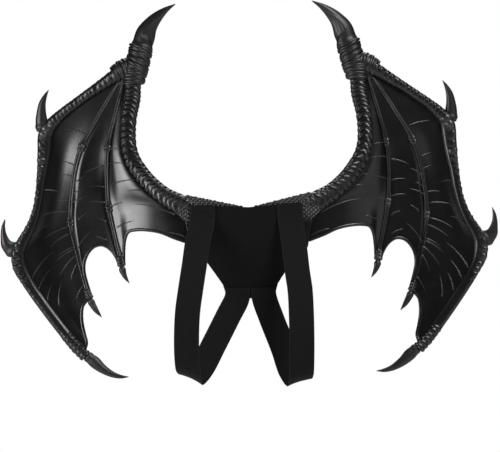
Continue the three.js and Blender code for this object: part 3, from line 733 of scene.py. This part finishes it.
def vein(line, front):
    """A vein from out, up to out, up: a slim band half in the front, bowed up by a sixteenth of its length.

    It starts inside the bone that is nearer to one of its ends, and thins as a square root to the other.
    """
    start, end = np.array(line[:2], float), np.array(line[2:], float)
    bones = np.vstack([bone.centre for bone in (arm, spar, inner_finger, outer_finger)])[:, [0, 2]]
    from_bone = [np.linalg.norm(bones - tip, axis=1).min() for tip in (start, end)]
    if from_bone[1] < from_bone[0]:
        start, end = end, start
    start = start + VEIN_BEHIND * unit(start - end)
    t = np.linspace(0, 1, VEIN_POINTS)[:, None]
    aside = np.array([start[1] - end[1], end[0] - start[0]]) / 16
    aside = aside * np.sign(aside[1])
    seen = start + (end - start) * t + aside * 4 * t * (1 - t)
    near = front.reshape(-1, 3)
    found = np.argmin(((seen[:, None] - near[None, :, [0, 2]]) ** 2).sum(axis=2), axis=1)
    path = np.stack([seen[:, 0], near[found, 1], seen[:, 1]], axis=1)
    path[1:-1, 1] = (path[:-2, 1] + path[1:-1, 1] + path[2:, 1]) / 3
    slim = np.sqrt(np.clip(np.minimum(1 - t[:, 0], 6 * t[:, 0]), 0.03, 1))
    # The crest paints the vein's side that faces the viewer paler: partly dry-brushing and partly a painted
    # highlight.
    return carried(path, TO_THE_VIEWER, VEIN_WIDE * slim, VEIN_HIGH * slim, VEIN_AROUND, crest=0.55)


print("veins are", 2 * VEIN_WIDE, "mm wide where they start")

# %% Webs
WEB_THICK = 4.4
RIM_THICK = 6.2
RIM_AROUND = 14
WEB_COLUMNS = 52
# Each row of a swell: mm that the web comes forward; shares of its height where that starts, is whole and
# eases; the share that the foot keeps; the lean, which is towards the body below 1; and mm of a wave, which
# goes back in the half by the body and forward in the other.
INNER_SWELL = [(6.8, 0.1, 0.65, 0.85, 0.9, 0.8, -0.9)]
MIDDLE_SWELL = [(0.6, 0.2, 0.45, 0.5, 0.0, 1.0, 0.9), (5.0, 0.4, 0.68, 0.72, 0.6, 0.66, 0.0)]
OUTER_SWELL = [(-4.1, 0.15, 0.4, 0.5, 0.1, 1.0, 0.0)]

def web_skin(inner, outer, scallop, swells, veins, v):
    """A web's shell: straight rows between its edges, plus v squared times the scallop's pull on the foot.

    Each swell is a half sine of u to the power lean, plus a whole sine for its wave, and both grow and ease
    down the web as its row says. The rim is a band carried along the foot, and the veins lie on the front.
    """
    u = np.linspace(0, 1, WEB_COLUMNS)
    rows = np.vstack([inner[-1:], np.array(scallop, float)[:, [0, 2, 1]], outer[-1:]])
    foot = smooth(rows, len(u))
    across = u[:, None]
    pull = foot - (inner[-1] * (1 - across) + outer[-1] * across)
    middle = inner[:, None] * (1 - across) + outer[:, None] * across + (v ** 2)[:, None, None] * pull
    for forward, starts, whole, eases, kept, lean, wave in swells:
        share = ramp(v, starts, whole) * (1 - (1 - kept) * ramp(v, eases, 1))
        depth = wave * np.sin(2 * np.pi * u) - forward * np.sin(np.pi * u ** lean)
        middle[..., 1] += depth * share[:, None]
    half = np.array([0, WEB_THICK / 2, 0])
    front, rear = middle - half, middle + half
    taper = 0.75 + 0.25 * np.sin(np.pi * u)
    rim = carried(middle[-1], TO_THE_VIEWER, RIM_THICK / 2 * taper, RIM_THICK / 2 * taper, RIM_AROUND)
    return together([slab(front, rear), rim, *(vein(line, front) for line in veins)])


WEBS = {"inner_web": (arm_edge, near_inner, INNER_SCALLOP, INNER_SWELL, INNER_VEINS),
        "middle_web": (far_inner, near_outer, MIDDLE_SCALLOP, MIDDLE_SWELL, MIDDLE_VEINS),
        "outer_web": (far_outer, spar_edge, OUTER_SCALLOP, OUTER_SWELL, OUTER_VEINS)}
for name, web in WEBS.items():
    pair(name, web_skin(*web, down), web_foam)

# %% [markdown]
# ## Wrist wrap
# Where the bones meet, the wrist is bound with many dull strands, as if wound by hand: turns round the
# horn's base and the arm's top, and more round the spar's start. No two slant alike. One long coil could
# be wound, but each strand is a flattened loop of its own here, so that its slant and width can differ
# from the next one's.

# %% Wrist wrap
TRUNK_TURNS, BRANCH_TURNS = 20, 11
STRAND_GAP = 3.1  # mm from one strand to the next
STRAND_HIGH = 1.35  # half of it, in mm
STRAND_POINTS = 60  # round the bone
CORE_LESS = 0.9  # mm that the core stays inside the wrap's own size
CORE_AROUND = 48

def strands(count, lowest):
    """Rows of mm down the bone, slant in mm, angle where the slant is lowest and half width in mm.

    Sines of the strand's number, out of step with each other, make no two alike.
    """
    k = np.arange(count)
    slant = 3.4 + 1.9 * np.sin(1.7 * k)
    angle = lowest(k / count) + 0.5 * np.sin(2.3 * k)
    return np.stack([1.5 + STRAND_GAP * k, slant, angle, 2.3 + 0.5 * np.sin(3.1 * k)], axis=1)


def wound(bone, turn):
    """One strand round a bone: at each angle it sits slant times a cosine further down, half in the core."""
    at, slant, lowest, half = turn
    angle = np.linspace(0, 2 * np.pi, STRAND_POINTS, endpoint=False)
    place = np.clip(at + slant * np.cos(angle - lowest), 0, bone.length)
    columns = np.hstack([bone.centre, bone.side, bone.back, bone.wide, bone.deep]).T
    found = np.stack([np.interp(place, bone.run[:, 0], column) for column in columns], axis=1)
    centre, side, back, size = np.split(found, [3, 6, 9], axis=1)
    raised = (0.2 * half - 0.8 + 0.35 * np.sin(3 * angle + at))[:, None]
    out = side * (np.cos(angle)[:, None] * (size[:, :1] / 2 + raised))
    behind = back * (np.sin(angle)[:, None] * (size[:, 1:] / 2 + raised))
    # The crest paints each strand's outer face a little paler: partly dry-brushing and partly a painted
    # highlight.
    return carried(centre + out + behind, unit(out + behind), half, STRAND_HIGH, closed=True, crest=0.8)


def core(bone):
    """A plain core inside the strands: the bone's ovals less a little, and 3 mm less over the last 6 mm."""
    less = CORE_LESS + 3 * ramp(bone.run, bone.length - 6, bone.length)
    return tube(oval_rings(bone, CORE_AROUND, -less))


trunk, branch, fork = (bone_line(rows, step=1.0) for rows in (WRAP_TRUNK, WRAP_BRANCH, WRAP_FORK))
cores = [core(bone) for bone in (trunk, branch, fork)]
wraps = [wound(trunk, turn) for turn in strands(TRUNK_TURNS, lambda t: 3.0 - 2.6 * ramp(t, 0.5, 0.75))]
wraps += [wound(branch, turn) for turn in strands(BRANCH_TURNS, lambda t: 2.4 - t)]
pair("wrist_wrap", together(cores + wraps), strand_foam)

# %% [markdown]
# ## Horn and claws
# The horn on the wrist and the claws on the spar and fingers are smooth and curved. Fine grooves run
# along them like those in real horn, and each swells a little where it leaves its bone. The horn also has
# a dished, crescent-shaped face near its base, with a raised line along it. They could be cones bent by a
# modifier, but ovals along a line take the same tables and the same heights as the bones do.

# %% Horn and claws
HORN_AROUND, CLAW_AROUND = 64, 40
HORN_GROOVES = 14

def claw_shape(rows, facing, grooves):
    """A claw's line and heights in mm: fine cosine grooves and a bell near its foot, fading at the tip."""
    bone = bone_line(rows, step=0.7)
    fade = np.minimum(ramp(bone.run / bone.length, 1.0, 0.75), bone.wide / 12)
    lines = 0.08 * np.cos(grooves * facing + 0.06 * bone.run) * fade
    return bone, lines + 1.6 * bell(bone.run, 7, 4) * fade


def claw_skin(bone, around, height):
    """A claw's shell: ovals that shrink to a point, with its heights."""
    # The crest paints the raised parts a little paler: partly dry-brushing and partly a painted highlight.
    return tube(oval_rings(bone, around, height), crest=height / 2)


def horn_dish(run, facing):
    """The horn's crescent in mm: a broad bell hollowed out beside a slim one raised, with faded ends.

    The raised line starts on the side by the body, curls round to the front and drifts back further up.
    """
    line = 0.2 - 1.0 * ramp(run, 29, 9) - 0.4 * ramp(run, 36, 68)
    across = -facing - line
    window = ramp(run, 4, 12) * ramp(run, 80, 52)
    return window * (1.2 * bell(across, 0.0, 0.14) - 2.0 * bell(across, -0.68, 0.58))


facing = turns(HORN_AROUND)[1]
horn, height = claw_shape(THUMB_HORN, facing, HORN_GROOVES)
height = height + horn_dish(horn.run, facing)
pair("thumb_horn", claw_skin(horn, HORN_AROUND, height), claw_lacquer)

# Each claw's table, and the number of grooves round it.
CLAWS = {"elbow_claw": (ELBOW_CLAW, 9), "outer_claw": (OUTER_CLAW, 9), "tip_claw": (TIP_CLAW, 8),
         "inner_finger_claw": (INNER_FINGER_CLAW, 6), "outer_finger_claw": (OUTER_FINGER_CLAW, 6)}
for name, (rows, grooves) in CLAWS.items():
    bone, height = claw_shape(rows, turns(CLAW_AROUND)[1], grooves)
    pair(name, claw_skin(bone, CLAW_AROUND, height), claw_lacquer)

# %% [markdown]
# ## Root plates
# Each wing ends in a flat scaled plate that lies behind the panel and is sewn to it. Only its edge shows
# beside the panel and at the waist. The scales are a net of small rounded diamonds, painted grey on top,
# partly dry-brushing and partly a painted highlight, and they die out towards the web. Separate scales
# would be thousands of pieces, so the net is a height on one grid.

# %% Root plates
# From the top: out, up at the outer edge, up at the inner edge.
ROOT = [(99, 90, 69.5), (107, 75, 62), (114.4, 61, 50), (101.2, 48, 38), (97.5, 27, 16), (93.2, 3, -6),
        (70, -16, -24), (56, -36, -42), (44, -54, -58), (39.5, -69, -71)]
ROOT_INNER = 9.0  # out at the inner edge
ROOT_FRONT, ROOT_REAR = 4.0, 12.0  # back
ROOT_ROWS, ROOT_COLUMNS = 150, 100
SCALE_WIDE, SCALE_TALL = 7.6, 6.4
SCALE_RAISE = 1.8

def scale_net(out, up):
    """Rounded diamonds: the product of two sines, along out/wide plus up/tall and out/wide minus up/tall."""
    one, other = out / SCALE_WIDE + up / SCALE_TALL, out / SCALE_WIDE - up / SCALE_TALL
    return np.abs(np.sin(np.pi * one) * np.sin(np.pi * other)) ** 0.7


def root_skin():
    """A plate between its inner and outer edges, with scales on both faces that also push its edges out.

    The scales shrink to a tenth at the lower outer edge, where the web begins.
    """
    rows = np.array(ROOT, float)
    at = np.linspace(0, len(rows) - 1, ROOT_ROWS)
    out, up, inner_up = (np.interp(at, np.arange(len(rows)), column)[:, None] for column in rows.T)
    share = np.linspace(0, 1, ROOT_COLUMNS)[None]
    x = ROOT_INNER + (out - ROOT_INNER) * share
    z = inner_up + (up - inner_up) * share
    smooth_edge = ramp(share, 0.7, 0.8) * ramp(z, 52, 42)
    lifted = SCALE_RAISE * scale_net(x, z) * (1 - 0.9 * smooth_edge)
    x = x + 0.6 * lifted * ramp(share, 0.9, 1)
    z = z + 0.8 * lifted * ramp(at[:, None], 2, 0)
    front = np.stack([x, ROOT_FRONT - lifted, z], axis=-1)
    rear = np.stack([x, ROOT_REAR + lifted, z], axis=-1)
    # The crest paints the tops of the scales grey: partly dry-brushing and partly a painted highlight.
    return slab(front, rear, crest=lifted / SCALE_RAISE)


pair("root", root_skin(), brush_and_highlight_foam)

# %% [markdown]
# ## Back panel
# The panel is cut from black felted cloth on the fold, hemmed all round and stitched down the middle. It
# is flat against the wearer's back, stretched between the straps and the wings. A cloth simulation would
# only pull it flat, so it is drawn flat: a grid between two mirrored sides.

# %% Back panel
# The panel's right side from its top: out, up.
PANEL_SIDE = [(80, 74), (80, 34), (80, -6), (67.5, -18), (55, -36), (43, -54), (39, -66), (38, -74)]
PANEL_MIDDLE = (68.5, -77)  # up at the top and at the bottom
PANEL_THICK = 2.5
PANEL_ROWS, PANEL_COLUMNS = 80, 97
HEM = 7.0
HEM_RAISE = 0.35

def panel_skin():
    """A flat slab between its mirrored sides, raised at the hem and pressed in at its seams, and its area.

    The seams are bells. The area sums the strips between two rows of the side: mean width by height, twice.
    """
    side = np.array(PANEL_SIDE, float)
    run = run_along(side)
    down = np.linspace(0, 1, PANEL_ROWS)[:, None]
    out, up = (np.interp(down * run[-1], run, column) for column in side.T)
    share = np.linspace(-1, 1, PANEL_COLUMNS)[None]
    middle = PANEL_MIDDLE[0] + (PANEL_MIDDLE[1] - PANEL_MIDDLE[0]) * down
    x = out * share
    z = middle + (up - middle) * np.abs(share)
    from_edge = np.minimum(out * (1 - np.abs(share)), np.minimum(down, 1 - down) * run[-1])
    seam = 0.5 * bell(np.abs(x), 0, 1.2) + 0.4 * bell(from_edge, HEM, 0.9)
    front = np.stack([x, HEM_RAISE - HEM_RAISE * ramp(from_edge, HEM, HEM - 2) + seam, z], axis=-1)
    rear = np.stack([x, np.full_like(x, PANEL_THICK), z], axis=-1)
    area = 2 * np.sum((side[:-1, 0] + side[1:, 0]) / 2 * -np.diff(side[:, 1]))
    return slab(front, rear), area


panel, panel_area = panel_skin()
cloth = piece("back_panel_cloth", panel, black_felt, "back_panel")
print("panel area in square mm:", round(panel_area))

# %% [markdown]
# ## Straps
# Each strap is a flat ribbed elastic, 40 mm wide, sewn to the panel's top. It comes forward over the
# shoulder, goes under the arm and returns to the bottom of the panel. It could be dropped as cloth, but
# elastic keeps the bow and the fold that wear gave it, so it is a ribbon drawn along that loop. Boxed
# crosses of thread hold its ends.

# %% Strap tables
# From the panel's top round to its foot: out, up, fore, and the tilt in degrees.
LEFT_STRAP = [(73, 73, 0, 2), (74, 50, 1, 3), (82.5, 14, 22, 5), (88, -20, 44, 6), (95, -60, 62, 6),
              (100.5, -95, 73, 5), (103, -130, 77, 4), (103.5, -165, 72, 9), (101.5, -192, 57, 20),
              (96, -201, 38, 26), (81, -186, 22, 28), (60.5, -149, 11, 28), (37, -105, 4, 28),
              (21.5, -75, 0, 22), (20.6, -60, 0, 10)]
RIGHT_STRAP = [(65, 71.5, 0, -1), (66, 50, 1, 0), (71, 8, 26, 2), (75, -36, 52, 2), (78.5, -65, 64, 2),
               (79.5, -98, 73, 2), (79.5, -133, 77, 2), (78.5, -175, 72, 6), (77, -201, 57, 11),
               (73, -210, 38, 15), (61, -193, 22, 18), (50, -158, 11, 20), (32.5, -110, 4, 20),
               (21.5, -76, 0, 16), (20.6, -60, 0, 8)]
print("the straps come forward by", max(row[2] for row in LEFT_STRAP), "mm")

# %% Strap ribbon
STRAP_WIDE = 40.0
STRAP_THICK = 1.8
STRAP_CLEAR = 1.2  # from the panel's front to the middle of the strap
STRAP_RIBS = 20
STRAP_ROWS, STRAP_COLUMNS = 130, 81

def strap_grid(rows):
    """The strap's middle line, and its directions across (turned by tilt in the front view) and through.

    Across is made square to the line by taking away its part along it. Through is the line cross across.
    """
    rows = np.array(rows, float)
    out, up, fore, tilt = rows.T
    line = smooth(np.stack([out, -fore - STRAP_CLEAR, up, tilt], axis=1), STRAP_ROWS)
    centre, tilt = line[:, :3], np.radians(line[:, 3])
    centre[:, 1] = np.minimum(centre[:, 1], -STRAP_CLEAR)
    along = unit(np.gradient(centre, axis=0))
    across = np.stack([np.cos(tilt), np.zeros_like(tilt), np.sin(tilt)], axis=1)
    across = unit(across - along * (across * along).sum(axis=1, keepdims=True))
    return centre, across, np.cross(along, across)


def strap_skin(rows):
    """A ribbon, its weave and its length: ribs are a raised cosine across it, and its edges are thicker."""
    centre, across, through = strap_grid(rows)
    share = np.linspace(-1, 1, STRAP_COLUMNS)
    edge = ramp(np.abs(share), 0.9, 0.95)
    swell = STRAP_THICK / 2 - 0.12 + 0.06 * np.cos(STRAP_RIBS * np.pi * share) * (1 - edge) + 0.12 * edge
    swell = swell * np.sqrt(np.clip((1 - np.abs(share)) / 0.03 + 0.2, 0, 1))
    spread = centre[:, None] + across[:, None] * (share * STRAP_WIDE / 2)[:, None]
    front, rear = (spread + sign * through[:, None] * swell[:, None] for sign in (1, -1))
    run = run_along(centre)
    along, side = np.meshgrid(run, share * STRAP_WIDE / 2, indexing="ij")
    woven = np.stack([along, side], axis=-1).reshape(-1, 2)
    crest = np.broadcast_to(edge, front.shape[:2])
    return slab(front, rear, crest), np.vstack([woven, woven]), run[-1]


print("ribs are", STRAP_WIDE / STRAP_RIBS, "mm apart")

# %% Stitches and both straps
SEAM_LONG, SEAM_INSET, SEAM_FROM_EDGE = 22.0, 6.0, 4.0  # the box of stitches, from the strap's end and edges
STITCH_LONG, STITCH_HALF = 3.2, 0.42
STITCH_POINTS, STITCH_AROUND = 6, 6

def sewn(name, rows, at_end, mirror):
    """A box of stitches with a cross in it, near one end of a strap: short threads, half sunk in its face.

    Seven straight lines join the box's corners in turn. Each is cut into stitches, which thin at their ends.
    """
    centre, across, through = strap_grid(rows)
    run = run_along(centre)
    first, last = SEAM_INSET, SEAM_INSET + SEAM_LONG
    wide = STRAP_WIDE / 2 - SEAM_FROM_EDGE
    corners = np.array([(first, -wide), (last, -wide), (last, wide), (first, wide), (first, -wide),
                        (last, wide), (last, -wide), (first, wide)])
    slim = STITCH_HALF * np.sqrt(np.sin(np.pi * np.linspace(0.1, 0.9, STITCH_POINTS)))
    stitches = []
    for start, end in zip(corners[:-1], corners[1:]):
        count = int(np.linalg.norm(end - start) / STITCH_LONG)
        t = (np.arange(count)[:, None] + np.linspace(0.12, 0.88, STITCH_POINTS)[None]) / count
        flat = start + (end - start) * t[..., None]
        place = run[-1] - flat[..., 0] if at_end else flat[..., 0]
        middle, sideways, out = (np.stack([np.interp(place, run, column) for column in grid.T], axis=-1)
                                 for grid in (centre, across, through))
        front = middle + sideways * flat[..., 1:] + out * (STRAP_THICK / 2 + 0.05)
        stitches += [carried(path, face[0], slim, slim, STITCH_AROUND) for path, face in zip(front, out)]
    return piece(name, together(stitches), black_thread, mirror=mirror)


for side, rows in (("left", LEFT_STRAP), ("right", RIGHT_STRAP)):
    mirrored = side == "left"
    skin, woven, length = strap_skin(rows)
    strap = piece(f"{side}_strap_elastic", skin, black_elastic, f"{side}_strap", mirrored, woven)
    seams = [sewn(f"{side}_strap_{where}_stitches", rows, where == "lower", mirrored)
             for where in ("upper", "lower")]
    print(f"{side} strap: {length:.0f} mm long")

# %% [markdown]
# ## Studio
# The wings were lit by a soft lamp on the left at wing height, so the left wing shines and the right one
# is mostly dark. Here a much weaker lamp fills in from the right, one high on the right picks out the
# scutes, and one behind draws the upper edges. A white room would light the wings from all sides, so the
# sky is white to the camera only and dim to the wings. A pale floor lies well below them.

# %% Studio
def soft_light(name, place, target, size, power):
    """A square lamp that faces target: its -Z axis is turned along the line from place to target."""
    lamp = bpy.data.lights.new(name, "AREA")
    lamp.size = size
    lamp.energy = power
    stand = bpy.data.objects.new(name, lamp)
    away = unit(np.array(place, float) - np.array(target, float))
    right = unit(np.cross([0.0, 0.0, 1.0], away))
    turned = np.column_stack([right, np.cross(away, right), away, place])
    stand.matrix_world = Matrix(np.vstack([turned, [0, 0, 0, 1]]).tolist())
    bpy.context.collection.objects.link(stand)


# Place and target in metres, size in metres, power in watts.
LAMPS = {"key": ((-1.35, -0.75, 0.06), (-0.25, 0.05, 0.08), 0.6, 17),
         "fill": ((1.35, -0.75, 0.06), (0.25, 0.05, 0.08), 0.6, 1.0),
         "overhead": ((1.25, -1.3, 1.8), (0.05, 0.0, 0.1), 1.0, 56),
         "top": ((0.2, 1.6, 2.2), (0.0, 0.0, 0.1), 1.5, 40)}
for name, lamp in LAMPS.items():
    soft_light(name, *lamp)
print("lamps:", *LAMPS)

# %% Ground and floor
DIM_SKY = 0.05
FLOOR_HALF, FLOOR_UP = 4.0, -0.62  # metres

world = bpy.data.worlds.new("white_ground")
bpy.context.scene.world = world
world.use_nodes = True
sky = world.node_tree
sky.nodes.clear()
seen = node(sky, "Background", {"Color": (1, 1, 1, 1), "Strength": 1.0})
dim = node(sky, "Background", {"Color": (1, 1, 1, 1), "Strength": DIM_SKY})
ray = node(sky, "LightPath")
both = node(sky, "MixShader", {0: ray.outputs["Is Camera Ray"], 1: dim.outputs[0], 2: seen.outputs[0]})
node(sky, "OutputWorld", {"Surface": both.outputs[0]})

# Uncoated paper: an even, matt near-white.
paper, tree, surface, _ = new_material("studio_paper")
give(tree, surface, {"Base Color": colour("#eeeeee"), "Roughness": 0.9})
floor_mesh = bpy.data.meshes.new("floor")
corners = [(x * FLOOR_HALF, y * FLOOR_HALF, FLOOR_UP) for x, y in ((-1, -1), (1, -1), (1, 1), (-1, 1))]
floor_mesh.from_pydata(corners, [], [(0, 1, 2, 3)])
floor_mesh.materials.append(paper)
floor = bpy.data.objects.new("floor", floor_mesh)
bpy.context.collection.objects.link(floor)
print("floor at", FLOOR_UP, "m")
